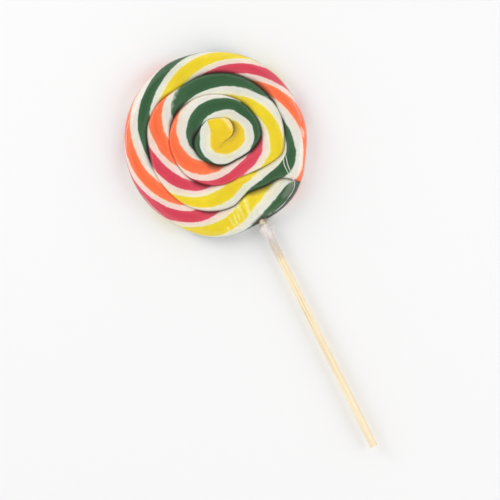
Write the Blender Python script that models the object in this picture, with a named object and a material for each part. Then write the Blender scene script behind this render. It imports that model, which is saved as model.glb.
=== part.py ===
"""A swirl lollipop: one rope of hard candy coiled into a disc on a thin wooden stick.

Lengths are in metres. The disc lies flat on z = 0 with its middle over the origin, +Z is the shown
side and the stick runs towards -Y. A turn is an angle in degrees, clockwise from +Y seen from above.
The rope starts with its tail at the rim beside the stick and winds clockwise to the middle.
"""
import math

import bmesh
import bpy
import numpy as np
from mathutils import Matrix

DISC_RADIUS = 0.0400
DISC_THICKNESS = 0.0100
CENTRE_HEIGHT = DISC_THICKNESS / 2
GROOVE_DEPTH = 0.0024
STEEP_REACH = 0.0017
STEEP_ROUNDNESS = 2.2
GENTLE_REACH = 0.0036
GENTLE_ROUNDNESS = 1.6
RIM_REACH = 0.0036
RIM_ROUNDNESS = 2.4

LAP = 360
TAIL_TURN = 141
CREASE_LAPS = 3
CREASE_END_TURN = TAIL_TURN + CREASE_LAPS * LAP
TURN_STEP = 7.5
TAIL_END_STEPS = (1, 1.5, 2.5, 4.5, 356, 358)
STICK_SIDE_STEPS = (26, 28, 32, 34, 36, 40, 42, 44)
ACROSS_ROPE = (0, 0.05, 0.16, 0.33, 0.66, 0.85, 0.95, 1)
INNER_SIDE = 0.5
CURL_TURN = 1311
DIVE_END_TURN = 146
DIVE_SAMPLING = 0.02
CREASE_SAMPLING = 0.5

# Points nearer than this are one, and edges shorter than that are left out.
MERGE_DISTANCE = 2e-6
SHORTEST_EDGE = 1e-6
TINY = 1e-9
SHARP_ANGLE = 40
BEVELLED_ANGLE = 60
BEVEL_STEPS = 2

# Where the crease between two laps runs: turn, distance from the middle. It dives in from the rim
# round the tail, steps in once a lap beside the stick, and hooks round the rope's inner end.
CREASE = (
    (141, 0.0400), (142.6, 0.0342), (145.4, 0.0314), (151, 0.0295), (157, 0.0282), (163, 0.0268),
    (170, 0.0257), (174, 0.0254), (180, 0.0260), (191, 0.0281), (222, 0.0297), (260, 0.0291),
    (291, 0.0292), (315, 0.0305), (330, 0.0303), (350, 0.0289), (383, 0.0304), (404, 0.0311),
    (450, 0.0306), (478, 0.0295), (484, 0.0290), (492, 0.0264), (502, 0.0231), (511, 0.0208),
    (518, 0.0194), (525, 0.0184), (535, 0.0176), (560, 0.0181), (600, 0.0187), (630, 0.0189),
    (660, 0.0201), (700, 0.0214), (775, 0.0211), (798, 0.0209), (822, 0.0203), (845, 0.0162),
    (860, 0.0132), (878, 0.0111), (900, 0.0103), (950, 0.0090), (1028, 0.0096), (1050, 0.0092),
    (1072, 0.0101), (1084, 0.0106), (1108, 0.0109), (1130, 0.0119), (1151, 0.0107), (1164, 0.0089),
    (1171, 0.0072), (1177, 0.0052), (1183, 0.0040), (1221, 0.0021),
)

# How much of its full depth the groove has, where the laps have fused more or less: turn, share.
GROOVE_DEPTHS = (
    (141, 1.0), (215, 1.0), (232, 0.6), (270, 0.6), (285, 1.0), (308, 0.9), (322, 0.6), (350, 0.7),
    (380, 1.0), (440, 1.0), (455, 0.7), (466, 1.0), (500, 0.9), (522, 0.6), (562, 0.55), (578, 1.0),
    (600, 0.8), (620, 0.5), (666, 0.5), (682, 1.0), (710, 0.9), (728, 0.45), (752, 0.45), (790, 0.9),
    (1030, 1.0), (1075, 0.4), (1128, 0.4), (1148, 0.8), (1161, 0.7), (1173, 0.35), (1185, 0.15),
    (1221, 0.0),
)

# How far the hand-pressed rim stands outside a true circle: turn, distance. Its ends meet.
RIM_UNEVENNESS = (
    (-5, 0.0005), (20, -0.0001), (50, 0.0000), (86, -0.0008), (104, -0.0003), (124, -0.0008),
    (138, 0.0002), (150, 0.0007), (157, 0.0005), (165, -0.0001), (172, -0.0005), (182, -0.0007),
    (190, -0.0001), (206, 0.0005), (236, -0.0008), (281, -0.0006), (320, 0.0002), (355, 0.0005),
)

STICK_RADIUS = 0.0017
STICK_OFFSET = 0.0030
STICK_END = -0.1477
STICK_IN_CANDY = 0.0230
STICK_TIP = -DISC_RADIUS + STICK_IN_CANDY
STICK_EDGE = 0.0003
STICK_SIDES = 32
GAP = 0.0003
SOCKET_MOUTH = -0.0450

# The candy thins towards the rim round the stick, so that the stick lies in an open trough there.
TROUGH_HALF_WIDTH = 0.0021
TROUGH_START = -0.0362
TROUGH_FULL = -0.0385
TROUGH_DEPTH = 0.66

# The film gathered round the stick: place along the stick, outer radius, depth of its pleats.
GATHER = (
    (-0.0408, 0.00235, 0.00000), (-0.0414, 0.00265, 0.00015), (-0.0422, 0.00295, 0.00028),
    (-0.0432, 0.00295, 0.00030), (-0.0446, 0.00270, 0.00020), (-0.0462, 0.00245, 0.00010),
    (-0.0480, 0.00232, 0.00004), (-0.0510, 0.00228, 0.00000),
)
GATHER_PLEATS = 9
GATHER_SIDES = 54


def clear_scene():
    for thing in list(bpy.data.objects):
        bpy.data.objects.remove(thing, do_unlink=True)


def material(name, colour, roughness, alpha=1.0):
    made = bpy.data.materials.new(name)
    made.use_nodes = True
    shader = made.node_tree.nodes["Principled BSDF"]
    shader.inputs["Base Color"].default_value = (*colour, 1.0)
    shader.inputs["Roughness"].default_value = roughness
    shader.inputs["Metallic"].default_value = 0.0
    shader.inputs["Alpha"].default_value = alpha
    return made


def smooth_curve(knots):
    """Return a smooth function through (place, value) knots that never overshoots them."""
    place, value = np.array(knots, float).T
    step = np.diff(place)
    slope = np.diff(value) / step
    tangent = np.zeros(len(place))
    tangent[0], tangent[-1] = slope[0], slope[-1]
    for i in range(1, len(place) - 1):
        if slope[i - 1] * slope[i] > 0:
            before = step[i - 1] + 2 * step[i]
            after = 2 * step[i - 1] + step[i]
            tangent[i] = (before + after) / (before / slope[i - 1] + after / slope[i])

    def curve(x):
        i = np.clip(np.searchsorted(place, x, side="right") - 1, 0, len(step) - 1)
        t = np.clip((x - place[i]) / step[i], 0, 1)
        rise = value[i + 1] - value[i]
        bend = step[i] * ((1 - t) * tangent[i] - t * tangent[i + 1]) - (1 - 2 * t) * rise
        return value[i] + t * rise + t * (1 - t) * bend

    return curve


def at(turn, radius):
    """Place a turn and a distance from the middle on the plane."""
    angle = np.radians(turn)
    return np.stack([radius * np.sin(angle), radius * np.cos(angle)], axis=-1)


crease_radius = smooth_curve(CREASE)
depth_share = smooth_curve(GROOVE_DEPTHS)
rim_unevenness = smooth_curve(RIM_UNEVENNESS)


def rim_radius(turn):
    first = RIM_UNEVENNESS[0][0]
    return DISC_RADIUS + rim_unevenness((turn - first) % LAP + first)


def crease_point(turn):
    """The crease on the plane. It starts on the rim itself."""
    turn = np.asarray(turn, float)
    radius = np.where(turn <= TAIL_TURN, rim_radius(turn), crease_radius(turn))
    return at(turn, radius)


def crease_turns():
    """The turns at which the crease is measured: closely where it dives in from the rim."""
    dive = np.arange(TAIL_TURN, DIVE_END_TURN - DIVE_SAMPLING / 2, DIVE_SAMPLING)
    coil = np.arange(DIVE_END_TURN, CREASE_END_TURN + CREASE_SAMPLING / 2, CREASE_SAMPLING)
    return np.concatenate([dive, coil])


def groove_depth(turn):
    """The groove fades out where the rope's inner end melts into itself."""
    return GROOVE_DEPTH * depth_share(turn)


def shoulder(distance, reach, roundness):
    """Share of a drop that is left at a distance from its foot: 1 at the foot, 0 from the reach on."""
    inward = 1 - np.clip(distance / np.maximum(reach, TINY), 0, 1)
    return 1 - (1 - inward ** roundness) ** (1 / roundness)


def half_thickness(points, share):
    """Half the candy's thickness at points on the plane, from their distance to crease and rim.

    The share is how far across the rope they lie. Each lap tucks its inner edge under the next lap
    in, so a groove has a gentle side on its outer lap and a steep one on its inner lap.
    """
    turns = crease_turns()
    to_crease = np.linalg.norm(points[:, None, :] - crease_point(turns)[None, :, :], axis=2)
    nearest = to_crease.argmin(axis=1)
    depth = groove_depth(turns)[nearest]
    inner_side = share < INNER_SIDE
    reach = np.where(inner_side, GENTLE_REACH, STEEP_REACH) * depth / GROOVE_DEPTH
    roundness = np.where(inner_side, GENTLE_ROUNDNESS, STEEP_ROUNDNESS)
    groove = shoulder(to_crease.min(axis=1), reach, roundness) * depth / CENTRE_HEIGHT
    radius = np.linalg.norm(points, axis=1)
    turn = np.degrees(np.arctan2(points[:, 0], points[:, 1]))
    rim = shoulder(rim_radius(turn) - radius, RIM_REACH, RIM_ROUNDNESS)
    return CENTRE_HEIGHT * (1 - groove) * (1 - rim) * (1 - stick_trough(points))


def stick_trough(points):
    """Share of the thickness that is lost where the stick comes out of the rim."""
    beside = (points[:, 0] - STICK_OFFSET) / TROUGH_HALF_WIDTH
    along = np.clip((points[:, 1] - TROUGH_START) / (TROUGH_FULL - TROUGH_START), 0, 1)
    return TROUGH_DEPTH * along * along * (3 - 2 * along) * np.exp(-beside ** 2 / 2)


def strip_turns():
    """The turns at which the rope's rows lie, the same in each lap so that the laps share points."""
    steps = set(np.arange(0, LAP, TURN_STEP)) | set(TAIL_END_STEPS) | set(STICK_SIDE_STEPS)
    laps = np.arange(CREASE_LAPS + 1)[:, None] * LAP
    turns = TAIL_TURN + laps + np.array(sorted(steps))[None, :]
    return np.append(turns.ravel(), CREASE_END_TURN + LAP)


def rope_strip():
    """Points of the coiled rope seen from above: one row a turn step, from inner to outer crease."""
    turns = strip_turns()
    inner = crease_point(np.minimum(turns, CREASE_END_TURN))
    on_rim = turns < TAIL_TURN + LAP
    outer = np.where(on_rim[:, None], at(turns, rim_radius(turns)), crease_point(turns - LAP))
    across = np.array(ACROSS_ROPE)[None, :, None]
    return inner[:, None, :] * (1 - across) + outer[:, None, :] * across


def side_shares():
    """How far across the rope each point lies. The curled end has a crease on its outer side only."""
    turns = strip_turns()
    shares = np.tile(ACROSS_ROPE, (len(turns), 1))
    shares[turns > CURL_TURN] = 1
    return shares.ravel()


def candy_mesh():
    """The coil as two sheets, shown side and underside, that share their edge along the rim."""
    strip = rope_strip()
    rows, columns = strip.shape[:2]
    flat = strip.reshape(-1, 2)
    half = half_thickness(flat, side_shares())
    mesh = bmesh.new()
    sheets = []
    for side in (1, -1):
        heights = CENTRE_HEIGHT + side * half
        verts = [mesh.verts.new((x, y, z)) for (x, y), z in zip(flat, heights)]
        sheets.append(verts)
        for row in range(rows - 1):
            for column in range(columns - 1):
                corner = row * columns + column
                loop = [corner, corner + 1, corner + columns + 1, corner + columns]
                mesh.faces.new([verts[i] for i in loop[::-side]])
    bmesh.ops.remove_doubles(mesh, verts=mesh.verts, dist=MERGE_DISTANCE)
    bmesh.ops.dissolve_degenerate(mesh, edges=mesh.edges, dist=SHORTEST_EDGE)
    bmesh.ops.recalc_face_normals(mesh, faces=mesh.faces)
    return finished_mesh(mesh, "candy")


def finished_mesh(mesh, name):
    made = bpy.data.meshes.new(name)
    mesh.to_mesh(made)
    mesh.free()
    made.shade_smooth()
    made.set_sharp_from_angle(angle=math.radians(SHARP_ANGLE))
    return made


def place(name, mesh, look):
    thing = bpy.data.objects.new(name, mesh)
    if look is not None:
        mesh.materials.append(look)
    bpy.context.scene.collection.objects.link(thing)
    return thing


def rod_mesh(name, radius, start, end):
    """A round rod along the stick's line, between two places on Y."""
    mesh = bmesh.new()
    along_stick = Matrix.Rotation(math.radians(90), 4, "X")
    bmesh.ops.create_cone(
        mesh, cap_ends=True, segments=STICK_SIDES, radius1=radius, radius2=radius,
        depth=end - start, matrix=along_stick)
    made = finished_mesh(mesh, name)
    made.transform(Matrix.Translation((0, (start + end) / 2, 0)))
    return made


def make_candy(look):
    candy = place("candy", candy_mesh(), look)
    socket = place("socket", rod_mesh("socket", STICK_RADIUS + GAP, SOCKET_MOUTH, STICK_TIP + GAP), None)
    socket.location = (STICK_OFFSET, 0, CENTRE_HEIGHT)
    socket.hide_render = True
    socket.display_type = "WIRE"
    cut = candy.modifiers.new("socket for the stick", "BOOLEAN")
    cut.operation = "DIFFERENCE"
    cut.object = socket
    return candy


def make_stick(look):
    stick = place("stick", rod_mesh("stick", STICK_RADIUS, STICK_END, STICK_TIP), look)
    stick.location = (STICK_OFFSET, 0, CENTRE_HEIGHT)
    edge = stick.modifiers.new("rounded ends", "BEVEL")
    edge.width = STICK_EDGE
    edge.segments = BEVEL_STEPS
    edge.limit_method = "ANGLE"
    edge.angle_limit = math.radians(BEVELLED_ANGLE)
    return stick


def gather_ring(mesh, y, radius, pleat):
    """One ring of the gathered film. A pleat depth of zero gives a plain round ring."""
    ring = []
    for i in range(GATHER_SIDES):
        angle = 2 * math.pi * i / GATHER_SIDES
        r = radius + pleat * math.cos(GATHER_PLEATS * angle)
        ring.append(mesh.verts.new((r * math.cos(angle), y, r * math.sin(angle))))
    return ring


def make_film_gather(look):
    """The film's neck, a pleated sleeve that is open where the stick runs through it."""
    mesh = bmesh.new()
    rings = [gather_ring(mesh, y, radius, pleat) for y, radius, pleat in GATHER]
    bore = STICK_RADIUS + GAP
    rings += [gather_ring(mesh, y, bore, 0) for y, _, _ in (GATHER[-1], GATHER[0])]
    for ring, following in zip(rings, rings[1:] + rings[:1]):
        for i in range(GATHER_SIDES):
            j = (i + 1) % GATHER_SIDES
            mesh.faces.new([ring[i], ring[j], following[j], following[i]])
    bmesh.ops.recalc_face_normals(mesh, faces=mesh.faces)
    gather = place("film_gather", finished_mesh(mesh, "film_gather"), look)
    gather.location = (STICK_OFFSET, 0, CENTRE_HEIGHT)
    return gather


clear_scene()
make_candy(material("candy", (0.79, 0.76, 0.68), 0.25))
make_stick(material("pale wood", (0.87, 0.73, 0.50), 0.6))
make_film_gather(material("clear film", (0.80, 0.74, 0.72), 0.2, alpha=0.5))
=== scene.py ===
"""The looks of a swirl lollipop: striped hard candy, its wooden stick and the clear film round both.

Lengths are in metres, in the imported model's frame. The disc lies flat on z = 0 with its middle over
the origin and the stick runs towards -Y. A turn is an angle in degrees, clockwise from +Y seen from
above, counted on from lap to lap. A share is how far across the rope a point lies, from the crease
on its inner side, 0, to its outer side, 1.
"""
import math

import bmesh
import bpy
import numpy as np
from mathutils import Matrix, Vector, noise


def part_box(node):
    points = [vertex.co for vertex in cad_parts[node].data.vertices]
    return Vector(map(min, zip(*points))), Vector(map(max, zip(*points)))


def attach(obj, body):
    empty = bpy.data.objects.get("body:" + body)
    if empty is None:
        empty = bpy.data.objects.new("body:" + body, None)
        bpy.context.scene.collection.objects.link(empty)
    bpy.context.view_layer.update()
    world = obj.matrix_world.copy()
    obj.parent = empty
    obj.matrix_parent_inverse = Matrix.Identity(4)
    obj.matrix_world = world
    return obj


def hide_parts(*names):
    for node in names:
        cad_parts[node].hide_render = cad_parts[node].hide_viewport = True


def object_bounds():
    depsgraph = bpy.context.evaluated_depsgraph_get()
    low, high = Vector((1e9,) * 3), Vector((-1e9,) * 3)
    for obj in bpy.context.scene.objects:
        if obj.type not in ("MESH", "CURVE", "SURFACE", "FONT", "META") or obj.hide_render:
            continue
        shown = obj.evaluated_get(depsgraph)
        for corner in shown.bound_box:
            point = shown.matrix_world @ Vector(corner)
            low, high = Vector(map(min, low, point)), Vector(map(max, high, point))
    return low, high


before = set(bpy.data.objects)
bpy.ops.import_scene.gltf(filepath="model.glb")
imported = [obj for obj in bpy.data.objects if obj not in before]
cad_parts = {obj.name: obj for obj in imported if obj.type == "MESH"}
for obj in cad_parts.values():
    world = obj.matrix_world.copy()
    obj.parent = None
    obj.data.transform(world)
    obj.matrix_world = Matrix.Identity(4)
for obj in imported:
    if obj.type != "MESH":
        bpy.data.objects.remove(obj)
cad_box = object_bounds()

STICK_LOW, STICK_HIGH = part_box("stick")
STICK_X = (STICK_LOW.x + STICK_HIGH.x) / 2
CANDY_LOW, CANDY_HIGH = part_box("candy")
CENTRE_HEIGHT = (CANDY_LOW.z + CANDY_HIGH.z) / 2
FULL_HALF = (CANDY_HIGH.z - CANDY_LOW.z) / 2
MM = 0.001

# Points nearer than this are one, and edges shorter than that are left out.
MERGE_DISTANCE = 2e-6
SHORTEST_EDGE = 1e-6
TINY = 1e-9
POINTS_AT_ONCE = 4000

# The coil, as in the solid.
DISC_RADIUS = 0.0400
GROOVE_DEPTH = 0.0024
STEEP_REACH = 0.0017
STEEP_ROUNDNESS = 2.2
GENTLE_REACH = 0.0036
GENTLE_ROUNDNESS = 1.6
RIM_REACH = 0.0036
RIM_ROUNDNESS = 2.4
LAP = 360
TAIL_TURN = 141
CREASE_LAPS = 3
CREASE_END_TURN = TAIL_TURN + CREASE_LAPS * LAP
CURL_TURN = 1311
DIVE_END_TURN = 146
DIVE_SAMPLING = 0.02
CREASE_SAMPLING = 0.25
INNER_SIDE = 0.5
# Where the crease between two laps runs: turn, distance from the middle.
CREASE = (
    (141, 0.0400), (142.6, 0.0342), (145.4, 0.0314), (151, 0.0295), (157, 0.0282), (163, 0.0268),
    (170, 0.0257), (174, 0.0254), (180, 0.0260), (191, 0.0281), (222, 0.0297), (260, 0.0291),
    (291, 0.0292), (315, 0.0305), (330, 0.0303), (350, 0.0289), (383, 0.0304), (404, 0.0311),
    (450, 0.0306), (478, 0.0295), (484, 0.0290), (492, 0.0264), (502, 0.0231), (511, 0.0208),
    (518, 0.0194), (525, 0.0184), (535, 0.0176), (560, 0.0181), (600, 0.0187), (630, 0.0189),
    (660, 0.0201), (700, 0.0214), (775, 0.0211), (798, 0.0209), (822, 0.0203), (845, 0.0162),
    (860, 0.0132), (878, 0.0111), (900, 0.0103), (950, 0.0090), (1028, 0.0096), (1050, 0.0092),
    (1072, 0.0101), (1084, 0.0106), (1108, 0.0109), (1130, 0.0119), (1151, 0.0107), (1164, 0.0089),
    (1171, 0.0072), (1177, 0.0052), (1183, 0.0040), (1221, 0.0021),
)
# How much of its full depth the groove has, where the laps have fused more or less: turn, share.
GROOVE_DEPTHS = (
    (141, 1.0), (215, 1.0), (232, 0.6), (270, 0.6), (285, 1.0), (308, 0.9), (322, 0.6), (350, 0.7),
    (380, 1.0), (440, 1.0), (455, 0.7), (466, 1.0), (500, 0.9), (522, 0.6), (562, 0.55), (578, 1.0),
    (600, 0.8), (620, 0.5), (666, 0.5), (682, 1.0), (710, 0.9), (728, 0.45), (752, 0.45), (790, 0.9),
    (1030, 1.0), (1075, 0.4), (1128, 0.4), (1148, 0.8), (1161, 0.7), (1173, 0.35), (1185, 0.15),
    (1221, 0.0),
)
# How far the rim stands outside a true circle: turn, distance. Its ends meet.
RIM_UNEVENNESS = (
    (-5, 0.0005), (20, -0.0001), (50, 0.0000), (86, -0.0008), (104, -0.0003), (124, -0.0008),
    (138, 0.0002), (150, 0.0007), (157, 0.0005), (165, -0.0001), (172, -0.0005), (182, -0.0007),
    (190, -0.0001), (206, 0.0005), (236, -0.0008), (281, -0.0006), (320, 0.0002), (355, 0.0005),
)
# The candy thins towards the rim round the stick.
TROUGH_HALF_WIDTH = 0.0021
TROUGH_START = -0.0362
TROUGH_FULL = -0.0385
TROUGH_DEPTH = 0.66

# The fine candy mesh: how closely it is sampled, how far it keeps inside its film, and its waves.
TURN_STEP = 1.5
TAIL_END_STEPS = (0.25, 0.5, 0.75, 1, 1.25, 2.25, 359.25, 359.5, 359.75)
ROWS_ACROSS = 24
FILM_ROOM = 0.00012
RIM_ROOM = 0.00005
NARROWEST_ROPE = 0.003
WAVE_HEIGHT = 0.00022
WAVE_LENGTH = 0.014
WAVE_SLICE = 0.7
WAVE_GAIN = 0.9
WAVE_DROP = 0.45

# The stripes along the rope from its tail: the turn where each ends on the rope's crest, how far that
# end leans, in degrees, from a fifth to four fifths of the way across, and how far it bows there.
PALETTE = ("green", "white", "yellow", "white", "red", "white", "orange", "white")
STRIPE_ENDS = (
    (105, 46, 0), (152.4, 50.5, -3), (175.5, 36, 1.5), (210.5, 29, -1.5), (219, 22.5, 0.8),
    (243.6, 33.5, 2.6), (255.8, 37.5, 2.6), (288.6, 39.5, 1.6), (313.2, 42.5, 0.3), (343, 32.5, 0.8),
    (354.6, 33.5, 2), (387.2, 32, -0.6), (399, 29.5, 0), (423.5, 25, -0.8), (431.8, 21, 0),
    (456, 31, 1), (477.5, 27, 0), (509.4, 42, -2.5), (533.5, 53, 7), (585.5, 35, -2),
    (599, 39, 2), (635.5, 36, -4), (648.8, 29.5, 0), (682, 26, 0), (697.7, 14.5, 0), (768, 61, -7),
    (796.8, 48, 0), (839.8, 41, -3), (854.5, 35.5, 0), (905, 71, 1), (939.6, 54.5, 2.5),
    (1011.5, 62, -1), (1054, 88, 4), (1141, 88, 0), (1174, 60, 0), (1700, 60, 0),
)
# A lean is measured over this share of the rope's width. Beyond the rope's sides the stripes go on
# by so many a share.
LEAN_SPAN = 0.6
STRIPES_PER_SHARE = 2.4
SHARE_MARGIN = 0.05
# The skin is unrolled from this share on, and where two laps meet its middle counts as this share.
WALL_SHARE = 0.96
RIM_SHARE = 1.35
# At the rope's blunt tail its green keeps to the outer side: up to this turn, from this share.
TAIL_GREEN_TURN = 160
TAIL_GREEN_SHARE = 0.48
TAIL_GREEN_SLOPE = 2
# Where the rope dips in behind its own tail, its outer edge as the stripes see it: turn, radius.
DIP_EDGE = (
    (466, 0.0400), (471, 0.0395), (476, 0.0389), (481, 0.0385), (486, 0.0379), (491, 0.0372),
    (495, 0.0360), (498, 0.0348), (501, 0.0333), (505, 0.0314), (511, 0.0298), (517, 0.0285),
)
# Round the curled inner end the last two stripe edges run along the rope: turn, share. Beyond them
# the stripe's number grows this fast with the share, up to this far into the next stripe.
LAST_GREEN = 32
INNER_END_TURN = 1137
GREEN_SLOPE = 5
YELLOW_SLOPE = 3
INTO_STRIPE = 0.6
NARROWEST_WHITE = 0.05
LAST_GREEN_EDGE = (
    (1137, 0.48), (1141, 0.50), (1158, 0.65), (1169, 0.75), (1185, 0.81), (1200, 0.88), (1211, 0.95),
    (1240, 0.97), (1281, 0.93), (1300, 0.87), (1321, 0.81), (1361, 0.78), (1391, 0.79), (1403, 0.86),
    (1415, 0.95), (1440, 1.0), (1460, 1.3), (1581, 1.3),
)
LAST_WHITE_EDGE = (
    (1130, 0.0), (1137, 0.02), (1148, 0.20), (1161, 0.34), (1173, 0.48), (1185, 0.56), (1197, 0.58),
    (1235, 0.56), (1245, 0.53), (1257, 0.45), (1281, 0.39), (1305, 0.39), (1329, 0.37), (1377, 0.37),
    (1401, 0.41), (1413, 0.45), (1425, 0.51), (1435, 0.57), (1440, 0.65), (1443, 0.80),
    (1446, 1.05), (1581, 1.2),
)
# Painted shade on the candy beside the crease: turn, how much, and how far that reaches in
# millimetres on the outer lap, which tucks under there, and on the inner lap.
TUCK_SHADE = (
    (141, 0.50, 0.8, 0.6), (148, 0.75, 1.4, 0.9), (156, 0.90, 3.2, 0.9), (168, 0.90, 3.0, 0.9),
    (177, 0.75, 1.4, 0.5), (186, 0.65, 0.8, 0.4), (200, 0.75, 0.9, 0.4), (208, 0.80, 2.2, 0.5),
    (216, 0.65, 1.8, 0.4), (223, 0.15, 0.8, 0.2), (245, 0.08, 0.8, 0.2), (271, 0.15, 0.8, 0.3),
    (280, 0.85, 1.6, 0.8), (290, 0.85, 2.4, 1.2), (298, 0.65, 1.0, 0.6), (306, 0.12, 0.6, 0.3),
    (326, 0.10, 0.6, 0.3), (334, 0.55, 1.4, 0.3), (348, 0.30, 1.6, 0.3), (364, 0.15, 0.8, 0.3),
    (372, 0.75, 1.0, 0.3), (382, 0.80, 1.8, 0.4), (397, 0.75, 1.4, 0.4), (408, 0.75, 1.0, 0.7),
    (420, 0.85, 2.4, 1.3), (432, 0.85, 2.2, 1.2), (442, 0.80, 1.2, 0.8), (448, 0.15, 0.5, 0.3),
    (458, 0.80, 1.6, 0.3), (467, 0.75, 1.2, 0.3), (476, 0.40, 0.7, 0.2), (492, 0.15, 0.6, 0.2),
    (510, 0.70, 1.2, 0.4), (520, 0.30, 0.8, 0.3), (536, 0.15, 1.0, 0.3), (560, 0.25, 0.9, 0.3),
    (570, 0.65, 1.2, 0.3), (578, 0.85, 2.4, 0.6), (592, 0.80, 2.6, 0.8), (602, 0.50, 1.2, 0.5),
    (608, 0.12, 0.6, 0.2), (623, 0.40, 0.8, 0.2), (634, 0.15, 0.6, 0.2), (662, 0.12, 0.6, 0.2),
    (672, 0.60, 0.8, 0.4), (684, 0.85, 2.0, 1.0), (700, 0.85, 2.2, 1.4), (710, 0.70, 1.4, 0.9),
    (718, 0.10, 0.6, 0.2), (752, 0.10, 0.6, 0.2), (760, 0.60, 1.0, 0.2), (784, 0.40, 1.6, 0.3),
    (798, 0.40, 0.8, 0.3), (812, 0.75, 0.9, 0.3), (824, 0.80, 1.2, 0.7), (834, 0.85, 2.6, 0.9),
    (845, 0.85, 2.0, 0.7), (856, 0.80, 1.0, 0.7), (884, 0.75, 0.8, 0.7), (897, 0.80, 1.0, 0.8),
    (910, 0.90, 2.0, 0.9), (925, 0.90, 3.4, 0.8), (940, 0.85, 3.4, 0.7), (950, 0.60, 1.6, 0.6),
    (960, 0.40, 0.7, 0.5), (996, 0.80, 0.8, 0.6), (1008, 0.85, 2.4, 0.9), (1024, 0.90, 3.0, 1.2),
    (1044, 0.90, 3.0, 1.2), (1056, 0.80, 1.8, 0.9), (1066, 0.60, 1.0, 0.5), (1076, 0.20, 0.6, 0.3),
    (1128, 0.12, 0.6, 0.2), (1136, 0.55, 0.9, 0.1), (1146, 0.75, 2.2, 0.1), (1158, 0.70, 3.2, 0.1),
    (1172, 0.40, 3.2, 0.3), (1184, 0.22, 2.2, 0.9), (1221, 0.20, 1.8, 0.9),
)
TUCK_ROUNDNESS = 1.25
# The yellow turns golden from this far out towards the middle, and less so towards +Y.
GOLD_FROM = 0.024
GOLD_GAIN = 2
GOLD_FADE = 0.010
LEAST_GOLD = 0.3

# Marks on the candy as soft-edged paths over its shown side, in millimetres: the path, the width and
# the strength. They are sampled this closely and taper over this share of their length.
PATH_STEP = 0.0005
PATH_TAPER = 0.15
# The lip of the curled end, where a painted highlight turns its yellow pale, and two marks of yellow
# on the white: the first a painted glint of the film, the second a yellow mark.
PAINTED_LIP_HIGHLIGHT = (
    (((1.6, 10.6), (4.2, 11.0), (6.6, 10.1), (8.3, 7.8), (9.0, 4.6), (8.4, 1.9)), 2.8, 0.85),
)
GLINT_AND_MARK = (
    # A painted glint of the film.
    (((3.4, -21.2), (2.8, -22.6), (2.2, -23.8), (1.6, -24.9), (0.9, -25.6)), 1.3, 0.6),
    # A yellow mark near the middle.
    (((2.4, -5.6), (2.5, -7.2), (2.5, -8.4), (3.4, -9.4)), 1.2, 0.6),
)
# Painted shade on the candy's edge beside the stick and along the rim next to it.
PAINTED_EDGE_SHADE = (
    (((-2.4, -39.3), (0.0, -38.9), (1.8, -38.4), (3.5, -37.8), (5.1, -37.6)), 3.6, 0.95),
    (((3.0, -37.6), (4.6, -38.2), (6.1, -38.7), (8.0, -38.8), (10.3, -38.6), (12.5, -38.3),
      (15.4, -37.4), (17.8, -36.5), (20.6, -34.7), (24.0, -32.2), (26.6, -30.4)), 2.9, 1.0),
)

# Colours as they look in soft daylight, in 0 to 255.
GREEN = (39, 86, 46)
GREEN_EDGE = (52, 98, 58)
YELLOW = (236, 209, 4)
YELLOW_EDGE = (236, 214, 34)
# Painted highlight: the yellow under the film's broad folds.
YELLOW_GLEAM = (255, 241, 92)
GOLD = (236, 199, 4)
GOLD_EDGE = (236, 207, 44)
RED = (216, 54, 80)
RED_EDGE = (220, 70, 92)
ORANGE = (255, 108, 54)
ORANGE_EDGE = (255, 124, 74)
WHITE_BY_GREEN = (228, 228, 216)
WHITE_BY_YELLOW = (238, 232, 198)
WHITE_BY_RED = (241, 216, 206)
WHITE_BY_ORANGE = (243, 220, 200)
WHITE_MIDDLES = ((226, 225, 210), (239, 221, 203), (241, 214, 205), (231, 226, 216))
# A painted glint of the film and a yellow mark, on the white.
GLINT_AND_MARK_COLOUR = (226, 232, 120)
# Painted highlight on the curled lip.
LIP_HIGHLIGHT = (248, 226, 150)
# Painted shade by the stick and along the rim.
EDGE_SHADE_COLOUR = (34, 41, 35)
WOOD_DARK = (226, 200, 154)
WOOD_PALE = (246, 230, 196)
WOOD_PALEST = (250, 238, 210)
WOOD_PORES = (196, 160, 110)
FILM_TINT = (252, 250, 238)
NECK_DARK = (211, 202, 200)
NECK_MIDDLE = (225, 216, 211)
NECK_PALE = (236, 230, 222)
# Painted shade on a loose fold of the film.
NECK_FOLD_SHADE = (138, 115, 100)
# What the painted shade in the creases leaves of a colour, and what it adds, as linear values.
SHADE_LEAVES = (0.30, 0.27, 0.24, 1.0)
SHADE_ADDS = (0.022, 0.019, 0.016, 1.0)
# How far a stripe's edge colour reaches over into its neighbour, in stripes.
STRIPE_SOFTNESS = 0.045


def smooth_curve(knots):
    """Return a smooth function through (place, value) knots that never overshoots them."""
    place, value = np.array(knots, float).T
    step = np.diff(place)
    slope = np.diff(value) / step
    tangent = np.zeros(len(place))
    tangent[0], tangent[-1] = slope[0], slope[-1]
    for i in range(1, len(place) - 1):
        if slope[i - 1] * slope[i] > 0:
            before = step[i - 1] + 2 * step[i]
            after = 2 * step[i - 1] + step[i]
            tangent[i] = (before + after) / (before / slope[i - 1] + after / slope[i])

    def curve(x):
        i = np.clip(np.searchsorted(place, x, side="right") - 1, 0, len(step) - 1)
        t = np.clip((x - place[i]) / step[i], 0, 1)
        rise = value[i + 1] - value[i]
        bend = step[i] * ((1 - t) * tangent[i] - t * tangent[i + 1]) - (1 - 2 * t) * rise
        return value[i] + t * rise + t * (1 - t) * bend

    return curve


def at(turn, radius):
    """Place a turn and a distance from the middle on the plane."""
    angle = np.radians(turn)
    return np.stack([radius * np.sin(angle), radius * np.cos(angle)], axis=-1)


def turn_of(points):
    return np.degrees(np.arctan2(points[:, 0], points[:, 1]))


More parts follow.
